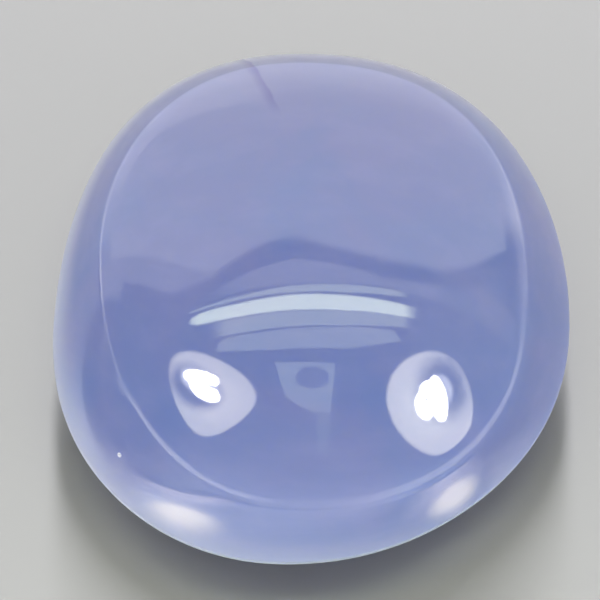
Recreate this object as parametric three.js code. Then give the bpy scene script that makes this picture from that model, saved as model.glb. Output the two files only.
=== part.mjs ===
// A lavender chalcedony cabochon: one loose polished stone, cut by hand and lying on its flat back.
//
// The stone is nearly round, with a low dome on top. A soft ridge runs round the dome, and outside
// it a steeper wall slopes down to the girdle, which is the widest line of the stone. Below the
// girdle the stone curves in to a flat back.
//
// Units are millimetres. +Z is up, +X is the stone's right side and +Y its far end. The origin is
// on the flat back, under the middle of the stone.

import * as THREE from "three";
import { mergeVertices } from "three/addons/utils/BufferGeometryUtils.js";

// Heights above the surface that the stone lies on
const GIRDLE_HEIGHT = 2.4;
const RIDGE_HEIGHT = 4.42;
const CROWN_HEIGHT = 6.52;

// The two outlines seen from above, each as half its width, half its length and a squareness:
// a squareness of 2 is a true oval, and a larger one is fuller at the corners
const GIRDLE = { halfWidth: 7.02, halfLength: 7.29, squareness: 2.165 };
const RIDGE = { halfWidth: 5.79, halfLength: 6.29, squareness: 2.25 };

// The ridge isn't quite in the middle of the girdle
const RIDGE_OFFSET = { x: 0.16, y: 0.09 };

// Hand cutting leaves each outline a little uneven. Each wave is a share of the outline's radius:
// two waves round the stone lean it over, three make it egg-shaped, four and five flatten it in places
const GIRDLE_WAVES = [
  { count: 2, sine: 0.013, cosine: 0 },
  { count: 3, sine: -0.012, cosine: 0.013 },
  { count: 5, sine: -0.006, cosine: 0 },
];
const RIDGE_WAVES = [
  { count: 2, sine: -0.016, cosine: 0 },
  { count: 3, sine: 0.007, cosine: 0 },
  { count: 4, sine: -0.004, cosine: 0 },
  { count: 5, sine: 0, cosine: -0.004 },
];

// How steep the surface is along the section, in degrees: 0 is the level crown, 90 the upright
// girdle and 180 the flat back
const WALL_TOP_TILT = 56;
const WALL_FOOT_TILT = 66;
const UNDERSIDE_TOP_TILT = 96;
const UNDERSIDE_FOOT_TILT = 140;
const BACK_TILT = 180;

// Radii of the three rounded edges
const RIDGE_ROUNDING = 0.6;
const GIRDLE_ROUNDING = 0.3;
const BACK_EDGE_ROUNDING = 0.35;

// Flat faces along each stretch of the section, and round the stone
const BACK_EDGE_STEPS = 2;
const UNDERSIDE_STEPS = 5;
const GIRDLE_STEPS = 4;
const WALL_STEPS = 4;
const RIDGE_STEPS = 2;
const DOME_STEPS = 10;
const STEPS_AROUND = 80;

const COLOUR = 0x868fc2;
const ROUGHNESS = 0.06;

const sine = (degrees) => Math.sin(THREE.MathUtils.degToRad(degrees));
const cosine = (degrees) => Math.cos(THREE.MathUtils.degToRad(degrees));

// Points along an arc of the section, from one steepness to another. x is the distance from the
// stone's axis and y the height.
function sectionArc(centre, radius, fromTilt, toTilt, steps) {
  const points = [];
  for (let step = 0; step <= steps; step += 1) {
    const tilt = THREE.MathUtils.lerp(fromTilt, toTilt, step / steps);
    points.push(new THREE.Vector2(centre.x + radius * sine(tilt), centre.y + radius * cosine(tilt)));
  }
  return points;
}

// The arc's centre, given a point on the arc and the steepness there
function centreFrom(point, radius, tilt) {
  return new THREE.Vector2(point.x - radius * sine(tilt), point.y - radius * cosine(tilt));
}

// The section through the stone's side, from the middle of the back round to the crown
function makeSection() {
  const girdleCentre = new THREE.Vector2(GIRDLE.halfWidth - GIRDLE_ROUNDING, GIRDLE_HEIGHT);
  const girdle = sectionArc(
    girdleCentre, GIRDLE_ROUNDING, UNDERSIDE_TOP_TILT, WALL_FOOT_TILT, GIRDLE_STEPS);
  const undersideTop = girdle[0];
  const wallFoot = girdle[GIRDLE_STEPS];

  // The rounded edge of the back takes the last bit of height, and the underside's arc the rest
  const backEdgeHeight = BACK_EDGE_ROUNDING * (1 + cosine(UNDERSIDE_FOOT_TILT));
  const undersideRadius = (undersideTop.y - backEdgeHeight)
    / (cosine(UNDERSIDE_TOP_TILT) - cosine(UNDERSIDE_FOOT_TILT));
  const undersideCentre = centreFrom(undersideTop, undersideRadius, UNDERSIDE_TOP_TILT);
  const underside = sectionArc(
    undersideCentre, undersideRadius, UNDERSIDE_FOOT_TILT, UNDERSIDE_TOP_TILT, UNDERSIDE_STEPS);
  const backEdgeCentre = centreFrom(underside[0], BACK_EDGE_ROUNDING, UNDERSIDE_FOOT_TILT);
  const backEdge = sectionArc(
    backEdgeCentre, BACK_EDGE_ROUNDING, BACK_TILT, UNDERSIDE_FOOT_TILT, BACK_EDGE_STEPS);

  // The wall is a flat arc from the girdle up to the ridge, and the dome a flatter one over the top
  const wallRadius = (RIDGE_HEIGHT - wallFoot.y) / (cosine(WALL_TOP_TILT) - cosine(WALL_FOOT_TILT));
  const wallCentre = centreFrom(wallFoot, wallRadius, WALL_FOOT_TILT);
  const ridgeRadius = wallCentre.x + wallRadius * sine(WALL_TOP_TILT);
  const domeRise = CROWN_HEIGHT - RIDGE_HEIGHT;
  const domeRadius = (ridgeRadius ** 2 + domeRise ** 2) / (2 * domeRise);
  const domeEdgeTilt = THREE.MathUtils.radToDeg(Math.asin(ridgeRadius / domeRadius));
  const domeCentre = new THREE.Vector2(0, CROWN_HEIGHT - domeRadius);

  // The ridge's rounding touches the wall and the dome a little way from where they would meet
  const halfTurn = (WALL_TOP_TILT - domeEdgeTilt) / 2;
  const reach = RIDGE_ROUNDING * Math.tan(THREE.MathUtils.degToRad(halfTurn));
  const wallTopTilt = WALL_TOP_TILT + THREE.MathUtils.radToDeg(reach / wallRadius);
  const domeTilt = domeEdgeTilt - THREE.MathUtils.radToDeg(reach / domeRadius);
  const ridgeCorner = new THREE.Vector2(ridgeRadius, RIDGE_HEIGHT);
  const ridgeCentre = centreFrom(
    ridgeCorner, RIDGE_ROUNDING / cosine(halfTurn), domeEdgeTilt + halfTurn);
  const wall = sectionArc(wallCentre, wallRadius, WALL_FOOT_TILT, wallTopTilt, WALL_STEPS);
  const ridge = sectionArc(ridgeCentre, RIDGE_ROUNDING, WALL_TOP_TILT, domeEdgeTilt, RIDGE_STEPS);
  const dome = sectionArc(domeCentre, domeRadius, domeTilt, 0, DOME_STEPS);

  // Neighbouring stretches share an end point, which is kept once
  const points = [
    new THREE.Vector2(0, 0),
    ...backEdge,
    ...underside.slice(1),
    ...girdle.slice(1),
    ...wall.slice(1, -1),
    ...ridge,
    ...dome.slice(1),
  ];
  points[1].y = 0;
  points[points.length - 1].x = 0;
  return { points, wallFoot, ridgeRadius };
}

// How far an outline is from its middle in one direction
function oval(outline, angle) {
  const across = Math.abs(Math.cos(angle) / outline.halfWidth) ** outline.squareness;
  const along = Math.abs(Math.sin(angle) / outline.halfLength) ** outline.squareness;
  return (across + along) ** (-1 / outline.squareness);
}

function handCut(outline, waves, angle) {
  let share = 1;
  for (const wave of waves) {
    share += wave.sine * Math.sin(wave.count * angle) + wave.cosine * Math.cos(wave.count * angle);
  }
  return oval(outline, angle) * share;
}

// Where a point of the round section goes on the hand-cut stone
function placeOnStone(radius, height, angle, section) {
  const direction = new THREE.Vector2(Math.cos(angle), Math.sin(angle));
  const ridgeMiddle = new THREE.Vector2(RIDGE_OFFSET.x, RIDGE_OFFSET.y);
  const girdleReach = handCut(GIRDLE, GIRDLE_WAVES, angle);
  const ridgeReach = handCut(RIDGE, RIDGE_WAVES, angle);
  const wallFoot = section.wallFoot.x;
  if (height <= section.wallFoot.y) {
    return direction.multiplyScalar(girdleReach * radius / GIRDLE.halfWidth);
  }
  if (radius > section.ridgeRadius) {
    const down = (radius - section.ridgeRadius) / (wallFoot - section.ridgeRadius);
    const onRidge = direction.clone().multiplyScalar(ridgeReach).add(ridgeMiddle);
    const onFoot = direction.clone().multiplyScalar(girdleReach * wallFoot / GIRDLE.halfWidth);
    return onRidge.lerp(onFoot, down);
  }
  // Towards the crown the dome becomes a true oval, so that its top has no corners
  const outward = radius / section.ridgeRadius;
  const crownOval = oval({ ...RIDGE, squareness: 2 }, angle);
  const reach = THREE.MathUtils.lerp(crownOval, ridgeReach, outward ** 2);
  return direction.multiplyScalar(reach * outward).add(ridgeMiddle);
}

function makeCabochonGeometry() {
  const section = makeSection();
  const turned = new THREE.LatheGeometry(section.points, STEPS_AROUND);
  turned.rotateX(Math.PI / 2);
  turned.deleteAttribute("normal");
  turned.deleteAttribute("uv");
  const geometry = mergeVertices(turned);

  const positions = geometry.getAttribute("position");
  for (let i = 0; i < positions.count; i += 1) {
    const radius = Math.hypot(positions.getX(i), positions.getY(i));
    const angle = Math.atan2(positions.getY(i), positions.getX(i));
    const height = positions.getZ(i);
    const place = placeOnStone(radius, height, angle, section);
    positions.setXY(i, place.x, place.y);
  }

  // The uneven outline is centred over the origin
  geometry.computeBoundingBox();
  const middle = geometry.boundingBox.getCenter(new THREE.Vector3());
  geometry.translate(-middle.x, -middle.y, 0);
  return geometry;
}

function makeChalcedony() {
  return new THREE.MeshStandardMaterial({ color: COLOUR, roughness: ROUGHNESS, metalness: 0 });
}

const cabochon = new THREE.Mesh(makeCabochonGeometry(), makeChalcedony());
cabochon.name = "cabochon";

const part = new THREE.Group();
part.add(cabochon);

export default part;
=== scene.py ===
# %% [markdown]
# A lavender chalcedony cabochon, about 14 mm across, lying on its flat back. The real stone is one
# piece of milky lavender quartz, sawn from the rough, ground to shape against a flat wheel and
# polished until it mirrors all that is round it. This file loads the stone's plain solid as its
# frame, models the polished stone over it, and lights it as a small product picture.
#
# Blender works in metres and a stone is small, so sizes are written in millimetres below and
# multiplied by one named value.

# %% The frame
import math

import bpy
from mathutils import Matrix, Vector


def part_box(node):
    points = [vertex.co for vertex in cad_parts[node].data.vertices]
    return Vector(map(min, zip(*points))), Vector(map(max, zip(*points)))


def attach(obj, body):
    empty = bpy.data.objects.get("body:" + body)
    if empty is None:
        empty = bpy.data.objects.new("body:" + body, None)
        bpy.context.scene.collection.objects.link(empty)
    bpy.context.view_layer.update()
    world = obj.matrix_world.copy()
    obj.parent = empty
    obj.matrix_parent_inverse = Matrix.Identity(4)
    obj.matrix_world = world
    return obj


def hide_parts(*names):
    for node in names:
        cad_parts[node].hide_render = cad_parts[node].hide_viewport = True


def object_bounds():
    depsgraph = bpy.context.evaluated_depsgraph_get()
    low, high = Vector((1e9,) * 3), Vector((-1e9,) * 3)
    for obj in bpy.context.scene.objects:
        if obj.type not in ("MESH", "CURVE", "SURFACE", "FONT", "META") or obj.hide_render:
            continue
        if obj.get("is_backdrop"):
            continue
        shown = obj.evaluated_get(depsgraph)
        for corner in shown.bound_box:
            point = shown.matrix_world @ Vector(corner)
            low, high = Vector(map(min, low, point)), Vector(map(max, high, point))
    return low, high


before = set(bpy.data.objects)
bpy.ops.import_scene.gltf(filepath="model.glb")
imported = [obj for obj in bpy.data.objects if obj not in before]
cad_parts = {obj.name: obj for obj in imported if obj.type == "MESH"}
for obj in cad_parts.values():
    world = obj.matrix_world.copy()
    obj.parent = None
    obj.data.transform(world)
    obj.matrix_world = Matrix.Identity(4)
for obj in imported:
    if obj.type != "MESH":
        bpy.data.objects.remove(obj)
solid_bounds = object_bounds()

MM = 0.001
low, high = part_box("cabochon")
print("The plain solid is", [round((b - a) / MM, 2) for a, b in zip(low, high)], "mm")

# %% [markdown]
# A cutter checks a cabochon from the side: a flat back, an underside that curves out to the girdle,
# which is the widest line, a sloping wall up to the ridge, and a low dome. Each stretch is an arc.
# Steepness is written in degrees here: 0 is the level crown, 90 the upright girdle and 180 the flat
# back. Arcs that meet at one steepness run into each other smoothly. Where it jumps there is an
# edge: at the ridge, and round the flat back.

# %% The section's sizes
GIRDLE_HEIGHT = 2.4
RIDGE_HEIGHT = 4.42
CROWN_HEIGHT = 6.52
SIDE_RADIUS = 7.02
GIRDLE_ROUNDING = 0.3
WALL_TOP_TILT = 56
WALL_FOOT_TILT = 66
UNDERSIDE_TOP_TILT = 96
UNDERSIDE_FOOT_TILT = 140


def sine(degrees):
    return math.sin(math.radians(degrees))


def cosine(degrees):
    return math.cos(math.radians(degrees))


def arc_radius(height, low_tilt, high_tilt):
    """The radius of an arc that rises by a height between two steepnesses."""
    return height / (cosine(high_tilt) - cosine(low_tilt))


def girdle_point(tilt):
    """A point on the rounded girdle, as distance from the axis and height."""
    return (
        SIDE_RADIUS - GIRDLE_ROUNDING * (1 - sine(tilt)),
        GIRDLE_HEIGHT + GIRDLE_ROUNDING * cosine(tilt),
    )


wall_foot = girdle_point(WALL_FOOT_TILT)
underside_top = girdle_point(UNDERSIDE_TOP_TILT)
underside_radius = arc_radius(underside_top[1], UNDERSIDE_FOOT_TILT, UNDERSIDE_TOP_TILT)
back_radius = underside_top[0] - underside_radius * (
    sine(UNDERSIDE_TOP_TILT) - sine(UNDERSIDE_FOOT_TILT)
)
wall_radius = arc_radius(RIDGE_HEIGHT - wall_foot[1], WALL_FOOT_TILT, WALL_TOP_TILT)
ridge_radius = wall_foot[0] - wall_radius * (sine(WALL_FOOT_TILT) - sine(WALL_TOP_TILT))
dome_rise = CROWN_HEIGHT - RIDGE_HEIGHT
dome_radius = (ridge_radius**2 + dome_rise**2) / (2 * dome_rise)
dome_edge_tilt = math.degrees(math.asin(ridge_radius / dome_radius))
print("The dome is part of a ball with a radius of", round(dome_radius, 2), "mm")

# %% [markdown]
# Each arc is cut into short steps, and the ends of the steps are the stations that the mesh goes
# through. An extra station close to the ridge on either side keeps it crisp when the mesh is made
# finer later. At the crown the stations stop short and leave a small patch for a grid.

# %% The section as stations, from the flat back up to the crown
UNDERSIDE_STEPS = 6
GIRDLE_STEPS = 3
WALL_STEPS = 5
DOME_STEPS = 12
CROWN_PATCH_TILT = 12
WALL_HOLD_TILT = 57.5
DOME_HOLD_TURN = 1.8


def arc(start, from_tilt, to_tilt, radius, steps):
    """Points along an arc that starts at a point of the section, without the start itself."""
    centre = (start[0] - radius * sine(from_tilt), start[1] - radius * cosine(from_tilt))
    tilts = [from_tilt + (to_tilt - from_tilt) * step / steps for step in range(1, steps + 1)]
    return [(centre[0] + radius * sine(t), centre[1] + radius * cosine(t)) for t in tilts]


section = [(back_radius, 0.0)]
for from_tilt, to_tilt, radius, steps in (
    (UNDERSIDE_FOOT_TILT, UNDERSIDE_TOP_TILT, underside_radius, UNDERSIDE_STEPS),
    (UNDERSIDE_TOP_TILT, WALL_FOOT_TILT, GIRDLE_ROUNDING, GIRDLE_STEPS),
    (WALL_FOOT_TILT, WALL_HOLD_TILT, wall_radius, WALL_STEPS),
    (WALL_HOLD_TILT, WALL_TOP_TILT, wall_radius, 1),
    (dome_edge_tilt, dome_edge_tilt - DOME_HOLD_TURN, dome_radius, 1),
    (dome_edge_tilt - DOME_HOLD_TURN, CROWN_PATCH_TILT, dome_radius, DOME_STEPS),
):
    section += arc(section[-1], from_tilt, to_tilt, radius, steps)
print("The section has", len(section), "stations")

# %% [markdown]
# The blank could be spun from this section like clay. Here it is drawn up from a ring instead: the
# ring is extruded and resized from station to station, as one would with E and S.

# %% Drawing up the blank
AROUND = 112
TOUCH = 1e-4


def select_only(obj):
    """An operator acts on all that is selected, so everything else is let go first."""
    bpy.ops.object.select_all(action="DESELECT")
    obj.select_set(True)
    bpy.context.view_layer.objects.active = obj


def ring_edges(mesh, height):
    """The ring of edges at one height."""
    points = mesh.vertices
    return [
        edge
        for edge in mesh.edges
        if all(abs(points[i].co.z / MM - height) < TOUCH for i in edge.vertices)
    ]


bpy.ops.object.select_all(action="DESELECT")
bpy.ops.mesh.primitive_circle_add(
    vertices=AROUND, radius=back_radius * MM, fill_type="NOTHING", location=(0, 0, 0)
)
stone = bpy.context.object
stone.name = "polished_stone"
bpy.ops.object.mode_set(mode="EDIT")
bpy.ops.mesh.select_mode(type="EDGE")
bpy.ops.mesh.select_all(action="SELECT")
for below, above in zip(section, section[1:]):
    bpy.ops.mesh.extrude_region_move(
        TRANSFORM_OT_translate={"value": (0, 0, (above[1] - below[1]) * MM)}
    )
    growth = above[0] / below[0]
    bpy.ops.transform.resize(value=(growth, growth, 1), center_override=(0, 0, above[1] * MM))

bpy.ops.object.mode_set(mode="OBJECT")
print("The open shell has", len(stone.data.polygons), "faces")

# %% [markdown]
# The flat back and the crown are still open. Each could be closed with a fan of triangles, but a fan
# pinches at its middle, and the polish would show that. A grid of squares stays smooth.

# %% Closing the back and the crown
GRID_SPAN = AROUND // 4

for rim_height in (0.0, section[-1][1]):
    bpy.ops.object.mode_set(mode="EDIT")
    bpy.ops.mesh.select_all(action="DESELECT")
    bpy.ops.object.mode_set(mode="OBJECT")
    for edge in ring_edges(stone.data, rim_height):
        edge.select = True
    bpy.ops.object.mode_set(mode="EDIT")
    bpy.ops.mesh.fill_grid(span=GRID_SPAN)
    bpy.ops.object.mode_set(mode="OBJECT")
bpy.ops.object.mode_set(mode="EDIT")
bpy.ops.mesh.select_all(action="SELECT")
bpy.ops.mesh.normals_make_consistent(inside=False)
bpy.ops.object.mode_set(mode="OBJECT")
print("The blank has", len(stone.data.vertices), "points and", len(stone.data.polygons), "faces")

# %% [markdown]
# The real stone was shaped by hand and by eye, so neither its girdle nor its ridge is a true oval.
# Each outline here is an oval with fuller corners, plus slow waves of about one part in a hundred.

# %% The hand-cut outlines
GIRDLE = {"half_width": 7.02, "half_length": 7.29, "squareness": 2.165}
RIDGE = {"half_width": 5.79, "half_length": 6.29, "squareness": 2.25}
RIDGE_MIDDLE = Vector((0.16, 0.09))
# Each wave: how many of them go round the stone, the sine's share and the cosine's share
GIRDLE_WAVES = ((2, 0.013, 0), (3, -0.012, 0.013), (5, -0.006, 0))
RIDGE_WAVES = ((2, -0.016, 0), (3, 0.007, 0), (4, -0.004, 0), (5, 0, -0.004))


def oval(outline, angle, squareness):
    across = abs(math.cos(angle) / outline["half_width"]) ** squareness
    along = abs(math.sin(angle) / outline["half_length"]) ** squareness
    return (across + along) ** (-1 / squareness)


def hand_cut(outline, waves, angle):
    """How far a hand-cut outline is from its middle in one direction."""
    share = 1
    for count, in_sine, in_cosine in waves:
        share += in_sine * math.sin(count * angle) + in_cosine * math.cos(count * angle)
    return oval(outline, angle, outline["squareness"]) * share


farthest = max(hand_cut(GIRDLE, GIRDLE_WAVES, math.radians(turn)) for turn in range(360))
print("The girdle reaches out to", round(farthest, 2), "mm")

# %% [markdown]
# Every point of the blank moves outwards or inwards to suit: below the wall it follows the girdle,
# on the dome it follows the ridge, and on the wall it lies in between.


# %% Cutting the blank to the outlines
def dome_reach(angle, outward):
    """The ridge's reach at the dome's edge, and a true oval at the crown."""
    true_oval = oval(RIDGE, angle, 2)
    return true_oval + (hand_cut(RIDGE, RIDGE_WAVES, angle) - true_oval) * outward**2


def dome_height(outward):
    fall = dome_radius - math.sqrt(dome_radius**2 - (outward * ridge_radius) ** 2)
    return CROWN_HEIGHT - fall


def place_on_stone(radius, height, angle):
    """Where a point of the round blank goes on the hand-cut stone, seen from above."""
    direction = Vector((math.cos(angle), math.sin(angle)))
    on_girdle = direction * hand_cut(GIRDLE, GIRDLE_WAVES, angle) / SIDE_RADIUS
    if height < wall_foot[1] + TOUCH:
        return on_girdle * radius
    if radius > ridge_radius:
        down = (radius - ridge_radius) / (wall_foot[0] - ridge_radius)
        on_ridge = RIDGE_MIDDLE + direction * dome_reach(angle, 1)
        return on_ridge.lerp(on_girdle * wall_foot[0], down)
    outward = radius / ridge_radius
    return RIDGE_MIDDLE + direction * dome_reach(angle, outward) * outward


for point in stone.data.vertices:
    x, y, height = point.co / MM
    radius = math.hypot(x, y)
    # The crown's grid was filled in flat, so its points first go up onto the dome
    if height > GIRDLE_HEIGHT and radius < section[-1][0]:
        height = dome_height(radius / ridge_radius)
    place = place_on_stone(radius, height, math.atan2(y, x))
    point.co = Vector((place.x, place.y, height)) * MM

# The uneven outline is centred over the origin
across = [point.co.x for point in stone.data.vertices]
along = [point.co.y for point in stone.data.vertices]
outline_middle = Vector(((min(across) + max(across)) / 2, (min(along) + max(along)) / 2))
for point in stone.data.vertices:
    point.co.xy -= outline_middle
print("The outline's middle was", [round(v / MM, 3) for v in outline_middle], "mm off the axis")

# %% [markdown]
# No edge of a polished stone is sharp, because the polishing felt gives. Two bevels round them off.
# The ridge's reads a weight on each edge: it stays crisp at the far side and is broadest at the
# right front, where the stone was held longest against the felt. The edge of the back is the only
# one that still turns sharply, so its bevel finds it by angle. Then the whole skin is made finer.

# %% Softening the edges
RIDGE_SOFTNESS = 0.26
CRISP_SHARE = 0.3
SOFTEST_WAY = Vector((0.5, -0.87))
BACK_SOFTNESS = 0.06
SHARP_ANGLE = 30
BEVEL_SEGMENTS = 4
FINE_LEVELS = 2

select_only(stone)
weights = stone.data.attributes.new("bevel_weight_edge", "FLOAT", "EDGE")
for edge in ring_edges(stone.data, RIDGE_HEIGHT):
    middle = sum((stone.data.vertices[i].co for i in edge.vertices), Vector())
    softest = max(0.0, middle.xy.normalized().dot(SOFTEST_WAY))
    weights.data[edge.index].value = CRISP_SHARE + (1 - CRISP_SHARE) * softest
soft_ridge = stone.modifiers.new("soft ridge", "BEVEL")
soft_ridge.limit_method = "WEIGHT"
soft_ridge.width = RIDGE_SOFTNESS * MM
soft_ridge.segments = BEVEL_SEGMENTS
bpy.ops.object.modifier_apply(modifier=soft_ridge.name)
soft_back = stone.modifiers.new("soft edge of the back", "BEVEL")
soft_back.limit_method = "ANGLE"
soft_back.angle_limit = math.radians(SHARP_ANGLE)
soft_back.width = BACK_SOFTNESS * MM
soft_back.segments = BEVEL_SEGMENTS
bpy.ops.object.modifier_apply(modifier=soft_back.name)
print("With soft edges the stone has", len(stone.data.polygons), "faces")
fine_mesh = stone.modifiers.new("fine mesh", "SUBSURF")
fine_mesh.levels = FINE_LEVELS
fine_mesh.render_levels = FINE_LEVELS
bpy.ops.object.modifier_apply(modifier=fine_mesh.name)
bpy.ops.object.shade_smooth()
print("The softened stone has", len(stone.data.polygons), "faces")

# %% [markdown]
# Polishing is the last cut. Subdivision draws a curve a few microns inside its points, which a
# mirror finish would show as faint waves, so the points of the dome are set back onto it exactly.
# Just inside the ridge the correction fades out.

# %% Polishing the dome
POLISHED_OUT_TO = 0.95
RIDGE_BEGINS = 0.97
FIRST_GUESS = 0.5
GUESSES = 12


def outward_share(place):
    """How far out on the dome a point is: 0 at the crown and 1 at the ridge."""
    offset = place - RIDGE_MIDDLE
    angle = math.atan2(offset.y, offset.x)
    share = FIRST_GUESS
    for _ in range(GUESSES):
        share = offset.length / dome_reach(angle, share)
    return share


largest_move = 0.0
for point in stone.data.vertices:
    if point.co.z / MM < RIDGE_HEIGHT:
        continue
    outward = outward_share((point.co.xy + outline_middle) / MM)
    if outward < RIDGE_BEGINS:
        polished = min(1.0, (RIDGE_BEGINS - outward) / (RIDGE_BEGINS - POLISHED_OUT_TO))
        move = (dome_height(outward) * MM - point.co.z) * polished
        point.co.z += move
        largest_move = max(largest_move, abs(move))
print("The polish moved points by up to", round(largest_move / MM * 1000, 1), "microns")

# %% [markdown]
# One grain broke out of the wall while the stone was ground, low on its left front, and left a pit
# about a tenth of a millimetre across. The face there is inset to a small rim, then pushed in.

# %% The pit in the wall
PIT_PLACE = Vector((-5.165, -4.568, 3.41))
PIT_CUTS = 3
PIT_RIM = 0.012
PIT_SIDE = 0.022
PIT_DEPTH = 0.05

nearest_face = min(stone.data.polygons, key=lambda face: (face.center / MM - PIT_PLACE).length)
pit_face = nearest_face.index
pit_centre = nearest_face.center.copy()
select_only(stone)
bpy.ops.object.mode_set(mode="EDIT")
bpy.ops.mesh.select_mode(type="FACE")
bpy.ops.mesh.select_all(action="DESELECT")
bpy.ops.object.mode_set(mode="OBJECT")
stone.data.polygons[pit_face].select = True
bpy.ops.object.mode_set(mode="EDIT")
bpy.ops.mesh.subdivide(number_cuts=PIT_CUTS)
bpy.ops.mesh.inset(thickness=PIT_RIM * MM)
bpy.ops.mesh.inset(thickness=PIT_SIDE * MM, depth=-PIT_DEPTH * MM)
bpy.ops.object.mode_set(mode="OBJECT")
print("The pit is at", [round(v / MM, 2) for v in pit_centre], "mm")

# %% [markdown]
# The polished stone takes the place of the plain solid. Nothing on a loose stone moves, so it rides
# on the part's one fixed body.

# %% The stone in its frame
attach(stone, "root")
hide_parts("cabochon")
print("The polished stone has", len(stone.data.polygons), "faces")

# %% [markdown]
# Chalcedony is quartz in fibres too fine to see. Light goes a millimetre or two into it and comes
# back milky, which is subsurface scattering. Its material is built up in layers, each a few nodes
# over the last. One small helper adds a node with its settings and links.


# %% Helpers for materials
def srgb(hex_code):
    """An sRGB hex colour as the linear values that a shader socket takes."""
    channels = [int(hex_code[i : i + 2], 16) / 255 for i in (1, 3, 5)]
    linear = [c / 12.92 if c <= 0.04045 else ((c + 0.055) / 1.055) ** 2.4 for c in channels]
    return (*linear, 1)


def new_material(name):
    material = bpy.data.materials.new(name)
    material.use_nodes = True
    material.node_tree.nodes.clear()
    return material


def add(material, kind, inputs=None, **settings):
    """Adds one shader node. An input is a plain value, or another node's output to link to."""
    node = material.node_tree.nodes.new("ShaderNode" + kind)
    for name, value in settings.items():
        setattr(node, name, value)
    for name, value in (inputs or {}).items():
        if isinstance(value, bpy.types.NodeSocket):
            material.node_tree.links.new(value, node.inputs[name])
        else:
            node.inputs[name].default_value = value
    return node


print("The grey #808080 is", round(srgb("#808080")[0], 3), "on a shader socket")

# %% [markdown]
# The body is a milky lavender with slow clouds, some bluer and some more purple. On top of that the
# colour is painted bluer and a little darker towards the front and paler and more purple towards the
# far side: that shift is painted shading. A noise texture draws the clouds. Its Scale counts lumps to
# the metre, so it is one over the size of a lump. Clouds this broad give the eye depth, and no
# pattern.

# %% The body's colour, with painted shading from front to back
CLOUD_SIZE = 3.5
FRONT_SHADE_SHIFT = 0.2
BODY_COLOURS = ((0.3, "#7b8cbe"), (0.7, "#888ebd"))

skin = new_material("polished_chalcedony")
on_stone = add(skin, "TexCoord").outputs["Object"]
_, lengthways, above_floor = add(skin, "SeparateXYZ", {"Vector": on_stone}).outputs
clouds = add(
    skin,
    "TexNoise",
    {"Vector": on_stone, "Scale": 1 / (CLOUD_SIZE * MM), "Detail": 3.0, "Distortion": 0.6},
)
# Painted shading: the colour shifts bluer and darker towards the front, paler towards the far side
painted_front_shade = add(
    skin,
    "MapRange",
    {
        "Value": lengthways,
        "From Min": -SIDE_RADIUS * MM,
        "From Max": SIDE_RADIUS * MM,
        "To Min": -FRONT_SHADE_SHIFT,
        "To Max": FRONT_SHADE_SHIFT,
    },
)
clouds_and_painted_shade = add(skin, "Math", {0: clouds.outputs["Fac"], 1: painted_front_shade.outputs["Result"]}, operation="ADD")
body = add(skin, "ValToRGB", {"Fac": clouds_and_painted_shade.outputs["Value"]})
for stop, (position, colour) in zip(body.color_ramp.elements, BODY_COLOURS):
    stop.position = position
    stop.color = srgb(colour)
print("The clouds are about", CLOUD_SIZE, "mm across")

# %% [markdown]
# Finer milky veils lie over the body. They are drawn out along the bed that the chalcedony grew in,
# so their noise is turned and stretched first. They make the stone look cloudy inside.

# %% Milky veils
VEIL_SIZE = 0.9
BED_TURN = (0.4, 0.0, 0.7)
BED_STRETCH = (0.35, 1.0, 1.6)
VEIL_COLOUR = "#969cc8"
VEIL_BEGINS = 0.45
VEIL_FULL = 0.75
VEIL_SHARE = 0.25

bed = add(skin, "Mapping", {"Vector": on_stone, "Rotation": BED_TURN, "Scale": BED_STRETCH})
veils = add(
    skin,
    "TexNoise",
    {"Vector": bed.outputs["Vector"], "Scale": 1 / (VEIL_SIZE * MM), "Detail": 5.0},
)
milky = add(
    skin,
    "MapRange",
    {
        "Value": veils.outputs["Fac"],
        "From Min": VEIL_BEGINS,
        "From Max": VEIL_FULL,
        "To Max": VEIL_SHARE,
    },
)
print("A veil covers at most", round(VEIL_SHARE * 100), "% of the body's colour")

# %% [markdown]
# Where the stone is thin, at the girdle, light comes through it and it looks paler, most of all at
# the left. Here that light is painted: a paler colour fades in with less height, which renders
# faster than real light.

# %% The thin edge's painted light
THIN_FROM = 3.6
LEFTWARDS = (-1.0, 0.1, 0)
PALER_AT_RIGHT = 0.08
PALER_AT_LEFT = 0.75
PAINTED_EDGE_LIGHT_COLOUR = "#c2c6d6"

leftwards = add(skin, "VectorMath", {0: on_stone, 1: LEFTWARDS}, operation="DOT_PRODUCT")
side = add(
    skin,
    "MapRange",
    {
        "Value": leftwards.outputs["Value"],
        "From Min": -SIDE_RADIUS * MM,
        "From Max": SIDE_RADIUS * MM,
        "To Min": PALER_AT_RIGHT,
        "To Max": PALER_AT_LEFT,
    },
)
# Painted light: a paler colour near the girdle, strongest at the left
painted_edge_light = add(
    skin,
    "MapRange",
    {
        "Value": above_floor,
        "From Min": THIN_FROM * MM,
        "From Max": GIRDLE_HEIGHT * MM,
        "To Max": side.outputs["Result"],
    },
    interpolation_type="SMOOTHSTEP",
)
print("The stone looks paler below", THIN_FROM, "mm")

# %% [markdown]
# A healed crack crosses the far side, a purple seam with one crisp edge and one soft one. A Mapping
# node of the Texture kind gives it its own axes, along and across. Slow noise bends it a little.

# %% The healed crack
SEAM_START = (-1.51, 6.10, 0)
SEAM_TURN = -67.2
SEAM_SOFT_SIDE = 0.3
SEAM_CRISP_SIDE = 0.06
SEAM_DEPTH = 0.75
SEAM_FADES_FROM = 1.0
SEAM_LENGTH = 1.9
BEND_SIZE = 0.8
BEND = 0.08
SEAM_COLOUR = "#6f6fae"

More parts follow.
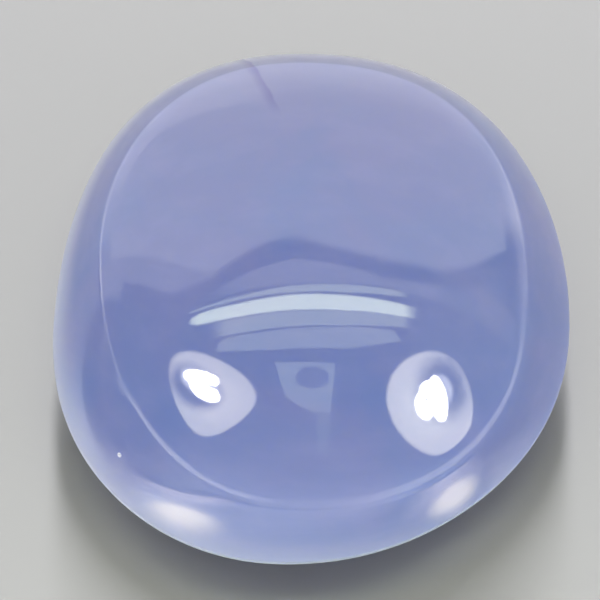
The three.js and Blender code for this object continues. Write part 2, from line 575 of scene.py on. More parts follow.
seam = add(
    skin,
    "Mapping",
    {
        "Vector": on_stone,
        "Location": [v * MM for v in SEAM_START],
        "Rotation": (0, 0, math.radians(SEAM_TURN)),
    },
    vector_type="TEXTURE",
)
seam_noise = add(
    skin, "TexNoise", {"Vector": on_stone, "Scale": 1 / (BEND_SIZE * MM), "Detail": 2.0}
)
bend = add(
    skin,
    "MapRange",
    {"Value": seam_noise.outputs["Fac"], "To Min": -BEND * MM, "To Max": BEND * MM},
)
along_seam, off_seam, _ = add(skin, "SeparateXYZ", {"Vector": seam.outputs["Vector"]}).outputs
across_seam = add(
    skin, "Math", {0: off_seam, 1: bend.outputs["Result"]}, operation="ADD"
).outputs["Value"]
cracked = SEAM_DEPTH
for measured, begins, full, ease in (
    (across_seam, -SEAM_SOFT_SIDE, 0.0, "SMOOTHSTEP"),
    (across_seam, SEAM_CRISP_SIDE, 0.0, "LINEAR"),
    (along_seam, SEAM_LENGTH, SEAM_FADES_FROM, "SMOOTHSTEP"),
):
    fade = add(
        skin,
        "MapRange",
        {"Value": measured, "From Min": begins * MM, "From Max": full * MM},
        interpolation_type=ease,
    ).outputs["Result"]
    cracked = add(skin, "Math", {0: fade, 1: cracked}, operation="MULTIPLY").outputs["Value"]
print("The crack fades out", SEAM_LENGTH, "mm along its line")

# %% [markdown]
# Inside the pit the quartz is broken, not polished, so it looks white and dull. Elsewhere the polish
# is a mirror that varies a little, as the felt rubs unevenly, and the flat back is only ground.

# %% The pit, the polish and the ground back
PIT_WHITE = 0.05
PIT_EDGE = 0.085
PIT_COLOUR = "#dfe1ee"
PIT_ROUGHNESS = 0.4
RUB_SIZE = 1.5
SMOOTHEST = 0.015
LEAST_SMOOTH = 0.05
GROUND_BELOW = 0.1
POLISHED_FROM = 0.3
GROUND_ROUGHNESS = 0.35

from_pit = add(skin, "VectorMath", {0: on_stone, 1: pit_centre}, operation="DISTANCE")
in_pit = add(
    skin,
    "MapRange",
    {"Value": from_pit.outputs["Value"], "From Min": PIT_EDGE * MM, "From Max": PIT_WHITE * MM},
).outputs["Result"]
rubbed = add(skin, "TexNoise", {"Vector": on_stone, "Scale": 1 / (RUB_SIZE * MM), "Detail": 4.0})
polish = add(
    skin, "MapRange", {"Value": rubbed.outputs["Fac"], "To Min": SMOOTHEST, "To Max": LEAST_SMOOTH}
)
ground = add(
    skin,
    "MapRange",
    {"Value": above_floor, "From Min": POLISHED_FROM * MM, "From Max": GROUND_BELOW * MM},
).outputs["Result"]
roughness = polish.outputs["Result"]
for share, rougher in ((in_pit, PIT_ROUGHNESS), (ground, GROUND_ROUGHNESS)):
    roughness = add(
        skin, "Math", {0: share, 1: rougher, 2: roughness}, operation="MULTIPLY_ADD"
    ).outputs["Value"]
print("The polish has a roughness of", SMOOTHEST, "to", LEAST_SMOOTH)

# %% [markdown]
# Now the layers are laid over the body, each as far as its own share says, and one Principled
# shader brings it together. Quartz has an IOR of 1.54. The light goes about 2 mm in, which softens
# the form. Ripples of less than a micron keep the mirror images from looking drawn with a ruler.

# %% The chalcedony's surface
QUARTZ_IOR = 1.54
LIGHT_DEPTH = 2.0
DEPTH_BY_COLOUR = (0.8, 0.9, 1.2)
RIPPLE_HEIGHT = 0.0006

stone_colour = body.outputs["Color"]
for share, colour in (
    (milky.outputs["Result"], VEIL_COLOUR),
    (painted_edge_light.outputs["Result"], PAINTED_EDGE_LIGHT_COLOUR),
    (cracked, SEAM_COLOUR),
    (in_pit, PIT_COLOUR),
):
    stone_colour = add(
        skin, "Mix", {"Factor": share, "A": stone_colour, "B": srgb(colour)}, data_type="RGBA"
    ).outputs["Result"]
ripples = add(
    skin, "Bump", {"Height": rubbed.outputs["Fac"], "Distance": RIPPLE_HEIGHT * MM, "Strength": 1.0}
)
surface = add(
    skin,
    "BsdfPrincipled",
    {
        "Base Color": stone_colour,
        "Roughness": roughness,
        "IOR": QUARTZ_IOR,
        "Normal": ripples.outputs["Normal"],
        "Subsurface Weight": 1.0,
        "Subsurface Radius": DEPTH_BY_COLOUR,
        "Subsurface Scale": LIGHT_DEPTH * MM,
        "Subsurface Anisotropy": 0.3,
    },
)
add(skin, "OutputMaterial", {"Surface": surface.outputs["BSDF"]})
stone.data.materials.clear()
stone.data.materials.append(skin)
print("The chalcedony has", len(skin.node_tree.nodes), "nodes")

# %% [markdown]
# The stone lies on a plain pale floor with a satin finish, large enough that no view shows its edge.
# A satin sheet mirrors what is over it as a blur, so the stone's own blurred image lies dark in
# front of it. The finish is a rolled one, so it blurs more one way than the other.

# %% The floor
FLOOR_SIZE = 8000
FLOOR_COLOUR = "#727274"
FLOOR_ROUGHNESS = 0.3
FLOOR_IOR = 2.0
ROLLED = 0.7


def satin_floor():
    m = new_material("satin_floor")
    rolling = add(m, "Tangent", direction_type="UV_MAP")
    surface = add(
        m,
        "BsdfPrincipled",
        {
            "Base Color": srgb(FLOOR_COLOUR),
            "Roughness": FLOOR_ROUGHNESS,
            "IOR": FLOOR_IOR,
            "Anisotropic": ROLLED,
            "Tangent": rolling.outputs["Tangent"],
        },
    )
    add(m, "OutputMaterial", {"Surface": surface.outputs["BSDF"]})
    return m


bpy.ops.object.select_all(action="DESELECT")
bpy.ops.mesh.primitive_plane_add(size=FLOOR_SIZE * MM, location=(0, 0, 0))
floor = bpy.context.object
floor.name = "floor"
floor.data.materials.append(satin_floor())
floor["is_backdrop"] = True
print("The floor is", floor.dimensions.x, "m across")

# %% [markdown]
# A polished dome is a small round mirror, so what it shows is the studio. The reflections come from
# glowing cards all round. They are seen in the polish but not by the camera, and they don't light
# the stone: soft lights do that, so each can be set on its own.


# %% What all the cards share
def towards(azimuth, elevation):
    """A direction: azimuth from the far side towards the right, and elevation, in degrees."""
    return Vector(
        (sine(azimuth) * cosine(elevation), cosine(azimuth) * cosine(elevation), sine(elevation))
    )


def in_view_of_polish_only(sheet):
    sheet.visible_camera = False
    sheet.visible_diffuse = False
    sheet.visible_shadow = False
    sheet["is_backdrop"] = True


def glow(m, colour, strength, lit):
    """The light of a card. Where lit is 1 it glows, and where lit is 0 it is clear."""
    soft = add(m, "MapRange", {"Value": lit}, interpolation_type="SMOOTHSTEP")
    light = add(m, "Emission", {"Color": srgb(colour), "Strength": strength})
    clear = add(m, "BsdfTransparent")
    mix = add(
        m,
        "MixShader",
        {0: soft.outputs["Result"], 1: clear.outputs["BSDF"], 2: light.outputs["Emission"]},
    )
    add(m, "OutputMaterial", {"Surface": mix.outputs["Shader"]})


print("Straight up is", [round(v, 2) for v in towards(0, 90)])

# %% [markdown]
# Small shiny things are photographed inside a light tent, a white dome that gives the polish
# something soft to mirror. This one is dim overhead and bright low down, at the front and at the
# far side. Each part depends only on how nearly one looks its way, 1 being straight that way: a
# sector faces a point of the compass, and a band of heights faces straight up.

# %% The tent's parts
TENT_RADIUS = 2500
TENT_SEGMENTS = 64
TENT_RINGS = 32
TENT_COLOUR = "#fffcf4"
TENT_BASE = 0.2
UP = (0, 0, 1)
# Each part's way, and how nearly one looks that way where it begins and where it is full
TENT_PARTS = {
    "front": (towards(180, 0), 0.3, 0.8),
    "straight_front": (towards(180, 0), 0.5, 0.85),
    "left_front": (towards(-125, 0), 0.65, 0.85),
    "right_front": (towards(125, 0), 0.65, 0.85),
    "left_side": (towards(-84, 8), 0.93, 0.985),
    "right_haze": (towards(95, 32), 0.85, 0.96),
    "far_side": (towards(-7, 0), 0.27, 0.39),
    "far_left": (towards(-32, 5), 0.86, 0.96),
    "front_low": (UP, 0.72, 0.58),
    "far_low": (UP, 0.36, 0.3),
    "far_foot": (UP, 0.25, 0.0),
}
print("The tent has", len(TENT_PARTS), "parts besides its skirt")

# %% [markdown]
# The tent's skirt draws the bright line along the stone's ridge, so it is lit where the ridge
# mirrors it. A surface that faces halfway between two directions mirrors the one to the other, and
# the Z of halfway says how level that surface is. The shallow wall at the left front would mirror
# the skirt's foot, so there it ends higher up.

# %% The tent's skirt
LOOKING_FROM = towards(180, 72)
SKIRT_BEGINS = 0.797
SKIRT_FULL = 0.755
SKIRT_REACH = (("straight_or_right", 0.035), ("left_front", 0.015), ("left_side", 0.03))
FOOT_BEGINS = 0.24
FOOT_FULL = 0.19
FOOT_RISE = 0.095


def skirt_in(m, direction, parts):
    """Where the tent's skirt is lit, from 0 to 1. parts are the other parts' outputs by name."""
    halfway = add(m, "VectorMath", {0: direction, 1: LOOKING_FROM}, operation="ADD")
    facing = add(m, "VectorMath", {0: halfway.outputs["Vector"]}, operation="NORMALIZE")
    level = add(m, "SeparateXYZ", {"Vector": facing.outputs["Vector"]}).outputs["Z"]
    parts["straight_or_right"] = add(
        m, "Math", {0: parts["straight_front"], 1: parts["right_front"]}, operation="MAXIMUM"
    ).outputs["Value"]
    for name, reach in SKIRT_REACH:
        level = add(
            m, "Math", {0: parts[name], 1: reach, 2: level}, operation="MULTIPLY_ADD"
        ).outputs["Value"]

    height = add(m, "SeparateXYZ", {"Vector": direction}).outputs["Z"]
    raised = add(
        m, "Math", {0: parts["left_side"], 1: FOOT_RISE, 2: height}, operation="MULTIPLY_ADD"
    ).outputs["Value"]
    rest = add(m, "Math", {0: 1.0, 1: parts["left_front"]}, operation="SUBTRACT").outputs["Value"]
    above_foot = add(
        m,
        "MapRange",
        {"Value": raised, "From Min": FOOT_BEGINS, "From Max": FOOT_FULL, "To Min": 1, "To Max": rest},
        interpolation_type="SMOOTHSTEP",
    ).outputs["Result"]
    return add(
        m,
        "MapRange",
        {"Value": level, "From Min": SKIRT_BEGINS, "From Max": SKIRT_FULL, "To Max": above_foot},
        interpolation_type="SMOOTHSTEP",
    ).outputs["Result"]


skirt_tilt = math.degrees(math.acos(SKIRT_FULL))
print("The skirt is full for a mirror that tilts by", round(skirt_tilt), "degrees or more")

# %% [markdown]
# The glow is a sum. Each row below multiplies some parts and says how much light they give
# together, and a minus takes some away. To change one reflection, one changes one row.

# %% The light tent
TENT_GLOWS = (
    (("front",), 1.0),
    (("front", "front_low"), 0.6),
    (("far_side", "far_low"), 2.05),
    (("far_side", "far_foot"), 0.7),
    (("far_left",), 0.7),
    (("right_haze",), 0.6),
    (("skirt",), 1.5),
    (("skirt", "front"), -0.8),
    (("skirt", "left_front"), 2.1),
    (("skirt", "right_front"), 1.2),
    (("skirt", "left_side", "left_front"), -1.6),
)


def light_tent():
    m = new_material("light_tent")
    place = add(m, "TexCoord").outputs["Object"]
    direction = add(m, "VectorMath", {0: place}, operation="NORMALIZE").outputs["Vector"]
    parts = {}
    for name, (way, begins, full) in TENT_PARTS.items():
        nearly = add(m, "VectorMath", {0: direction, 1: way}, operation="DOT_PRODUCT")
        parts[name] = add(
            m,
            "MapRange",
            {"Value": nearly.outputs["Value"], "From Min": begins, "From Max": full},
            interpolation_type="SMOOTHSTEP",
        ).outputs["Result"]
    parts["skirt"] = skirt_in(m, direction, parts)

    strength = TENT_BASE
    for names, amount in TENT_GLOWS:
        for name in names:
            amount = add(
                m, "Math", {0: parts[name], 1: amount}, operation="MULTIPLY"
            ).outputs["Value"]
        strength = add(m, "Math", {0: strength, 1: amount}, operation="ADD").outputs["Value"]
    light = add(m, "Emission", {"Color": srgb(TENT_COLOUR), "Strength": strength})
    add(m, "OutputMaterial", {"Surface": light.outputs["Emission"]})
    return m


bpy.ops.object.select_all(action="DESELECT")
bpy.ops.mesh.primitive_uv_sphere_add(
    segments=TENT_SEGMENTS, ring_count=TENT_RINGS, radius=TENT_RADIUS * MM, location=(0, 0, 0)
)
tent = bpy.context.object
tent.name = "light_tent"
bpy.ops.object.shade_smooth()
tent.data.materials.append(light_tent())
in_view_of_polish_only(tent)
print("The tent's light is a sum of", len(TENT_GLOWS), "glows")

# %% [markdown]
# Level cards hang over the stone. A card with a free outline starts as a circle whose corners are
# moved to the outline, and an inset gives it the rim over which it fades out. A long card that
# changes in brightness starts as a grid, with one column of points for each station.


# %% Two ways to cut a card
def light_card(card, colour, strength):
    """Lights a card by its lit attribute."""
    m = new_material(card.name)
    edge = add(m, "Attribute", attribute_name="lit")
    glow(m, colour, strength, edge.outputs["Fac"])
    card.data.materials.append(m)
    in_view_of_polish_only(card)


def outline_card(name, outline, height, soften, colour, strength):
    """A level card overhead. It fades out over a rim of the width given."""
    bpy.ops.object.select_all(action="DESELECT")
    bpy.ops.mesh.primitive_circle_add(
        vertices=len(outline), radius=1, fill_type="NGON", location=(0, 0, 0)
    )
    sheet = bpy.context.object
    sheet.name = name
    for point, (x, y) in zip(sheet.data.vertices, outline):
        point.co = Vector((x, y, height)) * MM
    bpy.ops.object.mode_set(mode="EDIT")
    bpy.ops.mesh.select_all(action="SELECT")
    bpy.ops.mesh.inset(thickness=soften * MM)
    bpy.ops.object.mode_set(mode="OBJECT")
    lit = sheet.data.attributes.new("lit", "FLOAT", "POINT")
    middle_face = max(sheet.data.polygons, key=lambda face: len(face.vertices))
    for index in middle_face.vertices:
        lit.data[index].value = 1.0
    light_card(sheet, colour, strength)
    return sheet


def ribbon_card(name, stations, height, soften, colour, strength):
    """A long level card from left to right. Each station is x, the near and the far edge, and lit."""
    bpy.ops.object.select_all(action="DESELECT")
    bpy.ops.mesh.primitive_grid_add(
        x_subdivisions=len(stations) - 1, y_subdivisions=3, size=2, location=(0, 0, 0)
    )
    ribbon = bpy.context.object
    ribbon.name = name
    lit = ribbon.data.attributes.new("lit", "FLOAT", "POINT")
    for index, point in enumerate(ribbon.data.vertices):
        row, column = divmod(index, len(stations))
        x, near, far, brightness = stations[column]
        y = (near - soften / 2, near + soften / 2, far - soften / 2, far + soften / 2)[row]
        point.co = Vector((x, y, height)) * MM
        lit.data[index].value = brightness if row in (1, 2) else 0.0
    light_card(ribbon, colour, strength)
    return ribbon


print("Each card's light follows its own lit attribute")

# %% [markdown]
# The far sheet is the big bright one that fills the upper half of the dome, and a wing carries it on
# to the left. Its near edge is wavy, and a dark gap follows it.

# %% The far sheet, its wing and the dark gap
CEILING = 400
SHEET_COLOUR = "#fffef8"

far_sheet = outline_card(
    "far_sheet",
    [(-1500, 490), (-780, 290), (-538, 205), (-286, 107), (-196, 133), (-120, 159), (-53, 165),
     (45, 139), (176, 122), (407, 155), (635, 244), (1375, 593), (1300, 1450), (-1300, 1450)],
    CEILING, 30, SHEET_COLOUR, 2.25,
)
outline_card(
    "left_wing",
    [(-2200, 400), (-1760, 354), (-1437, 338), (-1115, 280), (-787, 195), (-502, 98), (-270, 95),
     (-250, 300), (-1600, 700), (-2200, 900)],
    CEILING + 2, 30, SHEET_COLOUR, 1.4,
)
ribbon_card(
    "dark_gap",
    [(-520, 70, 112, 0), (-400, 75, 112, 1), (-285, 82, 118, 1), (-196, 100, 140, 1),
     (-120, 126, 165, 1), (-53, 129, 170, 1), (45, 116, 145, 1), (175, 100, 130, 1),
     (300, 112, 150, 1), (420, 140, 175, 0)],
    CEILING + 3, 12, "#ffffff", 0.2,
)
print("The far sheet is", round(far_sheet.dimensions.x, 2), "m wide")

# %% [markdown]
# In front of the gap hang a grey band and a wing on the right, then two light bars side by side with
# a pale band before them. The bars are the brightest cards overhead, and faintly green.

# %% The bands and the bars
BAND_COLOUR = "#fffcf0"
BAR_COLOUR = "#f4ffdd"

ribbon_card(
    "grey_band",
    [(-330, 58, 78, 0), (-196, 66, 100, 1), (-53, 68, 128, 1), (45, 68, 117, 1),
     (175, 76, 102, 1), (330, 80, 115, 1), (480, 90, 160, 0)],
    CEILING + 4, 8, BAND_COLOUR, 1.45,
)
outline_card(
    "right_wing",
    [(330, 70), (452, 66), (628, 78), (848, 85), (1200, 110), (1330, 330), (711, 262), (442, 150)],
    CEILING + 5, 50, BAND_COLOUR, 1.25,
)
ribbon_card(
    "thin_bar",
    [(-415, 39, 43, 0), (-385, 40, 45, 0.6), (-339, 41, 47, 0.9), (-278, 43, 50, 0.9),
     (-190, 46, 55, 0.9), (-62, 50, 64, 1), (75, 51, 68, 1), (215, 61, 74, 1), (262, 64, 76, 0)],
    CEILING, 4, "#f4ffe0", 3.9,
)
light_bar = ribbon_card(
    "light_bar",
    [(-402, 14, 27, 0), (-380, 11, 29, 0.6), (-345, 7, 33, 1), (-278, 7, 36, 1), (-200, 9, 38, 1),
     (-61, 12, 45, 1), (75, 12, 45, 1), (225, 17, 46, 1), (250, 18, 46, 0.55), (288, 20, 46, 0)],
    CEILING, 6, BAR_COLOUR, 9.5,
)
ribbon_card(
    "pale_band",
    [(-310, -30, 3, 0), (-230, -28, 5, 1), (-61, -22, 10, 1), (75, -19, 11, 1), (222, -7, 16, 1),
     (262, -4, 18, 0)],
    CEILING, 3, BAR_COLOUR, 3.2,
)
print("The light bar is", round(light_bar.dimensions.x, 2), "m long")

# %% [markdown]
# A pale panel hangs straight overhead, and in front of it a smaller one with a dim strip and a
# darker oval patch. The strip and the patch hang a little lower, so they hide what is above them.

# %% The panels
PANEL_COLOUR = "#f4ffe8"
PATCH_MIDDLE = (-5, -132)
PATCH_RADII = (44, 30)
PATCH_TURN = 20

outline_card(
    "pale_panel",
    [(-253, -32), (198, -15), (228, -39), (81, -70), (-104, -71), (-291, -64)],
    CEILING, 4, PANEL_COLOUR, 2.4,
)
outline_card(
    "front_panel",
    [(-100, -93), (52, -98), (45, -162), (40, -225), (0, -225), (-75, -180)],
    CEILING, 6, PANEL_COLOUR, 2.3,
)
outline_card(
    "front_strip",
    [(1, -215), (41, -215), (34, -353), (5, -353)],
    CEILING - 1, 6, PANEL_COLOUR, 1.4,
)
patch_outline = [
    (PATCH_MIDDLE[0] + PATCH_RADII[0] * cosine(turn), PATCH_MIDDLE[1] + PATCH_RADII[1] * sine(turn))
    for turn in range(0, 360, PATCH_TURN)
]
outline_card("front_patch", patch_outline, CEILING - 2, 10, "#ffffff", 0.4)
print("The oval patch has", len(patch_outline), "points")

# %% [markdown]
# Two lamps stand to the left and the right of the camera. Each is a bowl that glows pale, with a
# dark hollow and a bright bulb of two or three lobes. Bowls, hollows and bulbs are all eggs: ovals
# that may narrow towards one end. Each is drawn on a flat card by the distance from its middle.

# %% An egg of light
EGG_CARD_SIZE = 3.4


def egg_light(name, direction, away, shift, radii, lean, taper, soft, colour, strength):
    """An egg of light facing the stone. shift moves it sideways and up on its own face."""
    across = Vector(UP).cross(direction).normalized()
    upwards = direction.cross(across)
    bpy.ops.object.select_all(action="DESELECT")
    bpy.ops.mesh.primitive_plane_add(size=EGG_CARD_SIZE, location=(0, 0, 0))
    card = bpy.context.object
    card.name = name
    turned = Matrix((across, upwards, direction)).transposed() @ Matrix.Rotation(
        math.radians(lean), 3, "Z"
    )
    middle = (direction * away + across * shift[0] + upwards * shift[1]) * MM
    size = Matrix.Diagonal((radii[0] * MM, radii[1] * MM, 1, 1))
    card.matrix_world = Matrix.Translation(middle) @ turned.to_4x4() @ size

    m = new_material(name)
    place = add(m, "TexCoord").outputs["Object"]
    along, off, _ = add(m, "SeparateXYZ", {"Vector": place}).outputs
    narrowing = add(
        m, "Math", {0: along, 1: taper, 2: 1.0}, operation="MULTIPLY_ADD"
    ).outputs["Value"]
    sideways = add(m, "Math", {0: off, 1: narrowing}, operation="DIVIDE").outputs["Value"]
    flat = add(m, "CombineXYZ", {"X": along, "Y": sideways}).outputs["Vector"]
    out = add(m, "VectorMath", {0: flat}, operation="LENGTH").outputs["Value"]
    lit = add(m, "MapRange", {"Value": out, "From Min": 1.0, "From Max": 1.0 - soft})
    glow(m, colour, strength, lit.outputs["Result"])
    card.data.materials.append(m)
    in_view_of_polish_only(card)


print("An egg's card is", EGG_CARD_SIZE, "times its half size each way")

# %% [markdown]
# Each row below is one egg: its lamp, how far in front of the bowl it is, its shift, its two half
# sizes, lean, taper, softness, colour and strength. The bulbs burn out to white, and a dim notch
# shows where two lobes meet.

# %% The two lamps
LAMP_AWAY = 400
LEFT_LAMP = towards(-115.2, 46.9)
RIGHT_LAMP = towards(118.7, 46.6)
LAMP_EGGS = (
    ("left_bowl", LEFT_LAMP, 0, (13, 2), (76, 124), 312, -0.37, 0.1, "#fff9e5", 7.2),
    ("left_glow", LEFT_LAMP, 1, (20, 8), (62, 104), 312, -0.3, 0.6, "#fff9e5", 8.6),
    ("left_hollow", LEFT_LAMP, 2, (-24, -21), (98, 47), 43, 0, 0.55, "#fff4f0", 0.4),
    ("left_fringe", LEFT_LAMP, 4, (-33, -14), (54, 24), 42, 0, 0.4, "#ffffff", 8.0),
    ("left_bulb_a", LEFT_LAMP, 6, (-28, 0), (52, 14.5), 50, 0, 0.12, "#ffffff", 60),
    ("left_bulb_b", LEFT_LAMP, 7, (-4, -3), (46, 16), 38, 0, 0.12, "#ffffff", 60),
    ("left_notch", LEFT_LAMP, 8, (2, 19), (25, 3.5), 46, 0, 0.5, "#ffffff", 8.0),
    ("right_bowl", RIGHT_LAMP, 0, (6, 2), (114, 96), 345, -0.16, 0.1, "#fff9e5", 8.5),
    ("right_glow", RIGHT_LAMP, 1, (-4, 6), (98, 80), 345, -0.12, 0.6, "#fff9e5", 10.2),
    ("right_hollow", RIGHT_LAMP, 2, (46, -6), (96, 74), 160, 0, 0.7, "#fff4f0", 1.0),
    ("right_fringe", RIGHT_LAMP, 4, (33, -2), (42, 32), 165, 0, 0.35, "#ffffff", 8.0),
    ("right_bulb_a", RIGHT_LAMP, 6, (19, 20), (24, 16), 152, 0, 0.12, "#ffffff", 60),
    ("right_bulb_b", RIGHT_LAMP, 7, (-15, 13), (27, 22), 29, 0, 0.12, "#ffffff", 60),
    ("right_bulb_c", RIGHT_LAMP, 8, (18, -5), (43, 22), 34, 0, 0.12, "#ffffff", 60),
    ("right_notch", RIGHT_LAMP, 9, (-3, 15), (18, 2.6), 173, 0, 0.5, "#ffffff", 8.0),
)

for name, direction, depth, *the_rest in LAMP_EGGS:
    egg_light(name, direction, LAMP_AWAY - depth, *the_rest)
print("The two lamps are made of", len(LAMP_EGGS), "eggs,", LAMP_AWAY, "mm from the stone")

# %% [markdown]
# A satin sheet also smears each lamp into a pool of light in front of the stone, and the sloping
# wall mirrors those pools as two soft highlights. Here each pool is a card that lies on the floor
# and adds its light to what is there. The stone's own foot is in shade, so the pools fade out just
# before it. Light linking keeps them off everything but the stone.

# %% A pool of light on the floor
IN_SHADE = 8.2
OUT_OF_SHADE = 9.6

stone_only = bpy.data.collections.new("stone_only")
stone_only.objects.link(stone)


def floor_pool(name, middle, height, radii, lean, soft, shaded, colour, strength):
    """An oval pool of light that only the stone's polish shows, brightest in the middle."""
    bpy.ops.object.select_all(action="DESELECT")
    bpy.ops.mesh.primitive_plane_add(
        size=2 * MM,
        location=Vector((*middle, height)) * MM,
        rotation=(0, 0, math.radians(lean)),
    )
    card = bpy.context.object
    card.name = name
    card.scale = (*radii, 1)
    bpy.ops.object.transform_apply()
    m = new_material(name)
    place = add(m, "TexCoord").outputs["Object"]
    on_oval = add(
        m,
        "Mapping",
        {
            "Vector": place,
            "Location": (middle[0] * MM, middle[1] * MM, 0),
            "Rotation": (0, 0, math.radians(lean)),
            "Scale": (radii[0] * MM, radii[1] * MM, 1),
        },
        vector_type="TEXTURE",
    ).outputs["Vector"]
    out = add(m, "VectorMath", {0: on_oval}, operation="LENGTH").outputs["Value"]
    most = strength
    if shaded:
        from_stone = add(m, "VectorMath", {0: place}, operation="LENGTH")
        most = add(
            m,
            "MapRange",
            {
                "Value": from_stone.outputs["Value"],
                "From Min": IN_SHADE * MM,
                "From Max": OUT_OF_SHADE * MM,
                "To Max": strength,
            },
            interpolation_type="SMOOTHSTEP",
        ).outputs["Result"]
    lit = add(
        m,
        "MapRange",
        {"Value": out, "From Min": 1.0, "From Max": 1.0 - soft, "To Max": most},
        interpolation_type="SMOOTHSTEP",
    )
    light = add(m, "Emission", {"Color": srgb(colour), "Strength": lit.outputs["Result"]})
    clear = add(m, "BsdfTransparent")
    both = add(m, "AddShader", {0: light.outputs["Emission"], 1: clear.outputs["BSDF"]})
    add(m, "OutputMaterial", {"Surface": both.outputs["Shader"]})
    card.data.materials.append(m)
    card.light_linking.receiver_collection = stone_only
    in_view_of_polish_only(card)


print("The pools fade out", OUT_OF_SHADE, "to", IN_SHADE, "mm from the stone's middle")

# %% [markdown]
# Each row below is one pool: its middle, its two half sizes, lean, softness, whether the stone
# shades it, colour and strength. The last isn't shaded: it is the faint blue light that has come
# through the stone's thin edge.

# %% The pools of light
POOL_HEIGHT = 0.1
POOL_STEP = 0.02
POOLS = (
    ("far_pool", (0, 300), (400, 290), 0, 0.03, True, "#fffcf4", 1.4),
    ("front_pool", (0, -42), (60, 33), 0, 0.35, True, "#f2f6ff", 1.35),
    ("front_glow", (0, -11), (10, 9), 0, 1.0, True, "#e8f2ff", 0.7),
    ("left_side_pool", (-26, -6), (16, 10), 40, 1.0, True, "#f0f6ff", 1.1),
    ("left_pool_glow", (-24, -29), (26, 11), 42, 1.0, True, "#fff2dc", 3.8),
    ("left_far_pool", (-66, -76), (65, 30), 48, 0.6, True, "#fff2ea", 4.5),
    ("left_haze", (-200, -212), (150, 60), 46, 1.0, True, "#fff2ea", 1.0),
    ("left_pool", (-16.3, -22.6), (14.5, 6.0), 44, 0.7, True, "#ffeeb8", 6.5),
    ("right_pool_glow", (8.2, -10.2), (4.2, 3.0), 0, 1.0, True, "#fff2ea", 3.2),
    ("right_pool", (6.9, -8.6), (2.0, 1.5), 16, 0.7, True, "#fff0c8", 4.9),
    ("edge_glow", (0, -5.0), (9.4, 6.6), 0, 0.45, False, "#dff2ee", 0.5),
)

for layer, (name, middle, *the_rest) in enumerate(POOLS):
    # Each lies a hair above the last, so that no two share one plane
    floor_pool(name, middle, POOL_HEIGHT + layer * POOL_STEP, *the_rest)
print("There are", len(POOLS), "pools, a hair above the floor")

# %% [markdown]
# What the wall mirrors of the floor at either side is darker than the floor looks from above. Two
# dim cards below the pools stand for that, seen by the stone alone.

# %% The two shades
RIGHT_OUTLINE = [(9, -9), (10, -3), (24, -1), (70, -5), (70, -60), (30, -60), (12, -22)]
LEFT_OUTLINE = [(-32, -12), (-32, 10), (-60, 25), (-400, 160), (-400, -120), (-60, -30)]

for name, outline, soften, strength in (
    ("right_shade", RIGHT_OUTLINE, 2.5, 0.45),
    ("left_shade", LEFT_OUTLINE, 8, 0.12),
):
    shade = outline_card(name, outline, POOL_HEIGHT / 2, soften, "#ffffff", strength)
    shade.light_linking.receiver_collection = stone_only
print("The shades lie", POOL_HEIGHT / 2, "mm above the floor")

# %% [markdown]
# Soft lights all round light the stone itself, and the polish doesn't mirror them. An area light's
# energy is in watts, so each light's is worked out from its distance and from how bright a white
# sheet facing it should look.


# %% The soft lights
def soft_light(name, direction, away, size, irradiance, receivers):
    """An oblong light. irradiance is what it gives a white sheet facing it, 1 being full white."""
    bpy.ops.object.select_all(action="DESELECT")
    bpy.ops.object.light_add(type="AREA", location=direction * away * MM)
    lamp = bpy.context.object
    lamp.name = name
    lamp.rotation_euler = direction.to_track_quat("Z", "Y").to_euler()
    lamp.data.shape = "RECTANGLE"
    lamp.data.size = size[0] * MM
    lamp.data.size_y = size[1] * MM
    lamp.data.energy = irradiance * math.pi**2 * (away * MM) ** 2
    lamp.visible_glossy = False
    lamp.light_linking.receiver_collection = receivers
    return lamp


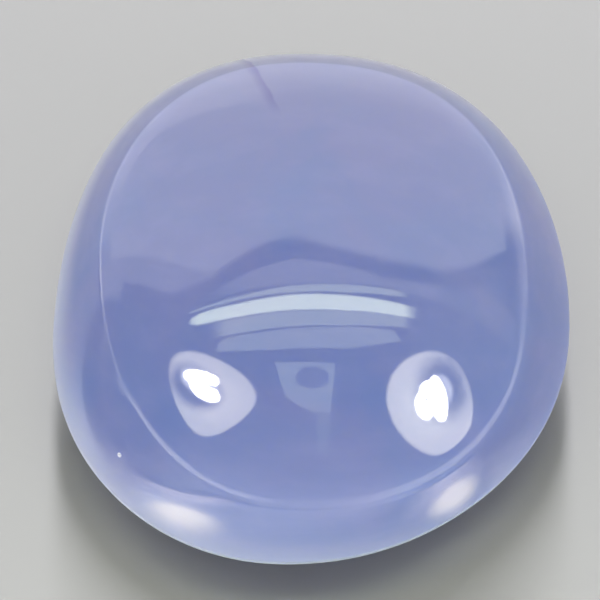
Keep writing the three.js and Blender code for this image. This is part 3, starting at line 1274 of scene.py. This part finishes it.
for name, direction, away, side, irradiance in (
    ("far_light", towards(0, 50), 900, 700, 0.2),
    ("left_light", LEFT_LAMP, 400, 250, 0.17),
    ("right_light", RIGHT_LAMP, 400, 250, 0.17),
    ("front_light", towards(180, 20), 700, 500, 0.27),
    ("left_side_light", towards(-85, 12), 700, 400, 0.1),
    ("right_side_light", towards(85, 12), 700, 400, 0.1),
):
    lamp = soft_light(name, direction, away, (side, side), irradiance, stone_only)
    print(name, "has", round(lamp.data.energy, 2), "W")

# %% [markdown]
# The floor has one light of its own, a long one high over its far side. The stone's shadow from it
# lies just where its mirror image would, a dark patch in front. An even white world fills the rest.

# %% The floor's own light and the world
WORLD_STRENGTH = 0.57

floor_only = bpy.data.collections.new("floor_only")
floor_only.objects.link(floor)
floor_light = soft_light("floor_light", towards(0, 42), 600, (60, 520), 3.25, floor_only)
print("The floor's light has", round(floor_light.data.energy, 2), "W")

world = bpy.data.worlds.new("pale_studio")
bpy.context.scene.world = world
world.use_nodes = True
background = world.node_tree.nodes["Background"]
background.inputs["Color"].default_value = srgb("#ffffff")
background.inputs["Strength"].default_value = WORLD_STRENGTH

# %% [markdown]
# The camera looks down steeply from the front, as one looks at a stone in the hand. Its lens is
# worked out from how many pixels of the picture one millimetre of the stone should take.

# %% The camera
CAMERA_ELEVATION = 72
CAMERA_AWAY = 200
CAMERA_TARGET = Vector((-0.3097, 0.1241, 2.5))
PIXELS_PER_MM = 36.64
PICTURE_WIDTH = 600
SENSOR_WIDTH = 36
NEAREST_SEEN = 10

bpy.ops.object.select_all(action="DESELECT")
bpy.ops.object.camera_add()
camera = bpy.context.object
camera.name = "camera"
camera.data.sensor_width = SENSOR_WIDTH
camera.data.lens = PIXELS_PER_MM * CAMERA_AWAY * SENSOR_WIDTH / PICTURE_WIDTH
camera.data.clip_start = NEAREST_SEEN * MM
camera.location = (CAMERA_TARGET + towards(180, CAMERA_ELEVATION) * CAMERA_AWAY) * MM
camera.rotation_euler = (math.radians(90 - CAMERA_ELEVATION), 0, 0)
bpy.context.scene.camera = camera
bpy.context.scene.view_settings.view_transform = "Standard"
print("The camera's lens is", round(camera.data.lens), "mm")

# %% [markdown]
# The polished stone is meant to stay inside the plain solid's box, so both boxes are printed.

# %% The sizes of both boxes
stone_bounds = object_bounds()
sizes = {"solid": [list(c) for c in solid_bounds], "visual": [list(c) for c in stone_bounds]}
for name, bounds in sizes.items():
    print(name, [[round(v / MM, 3) for v in corner] for corner in bounds])
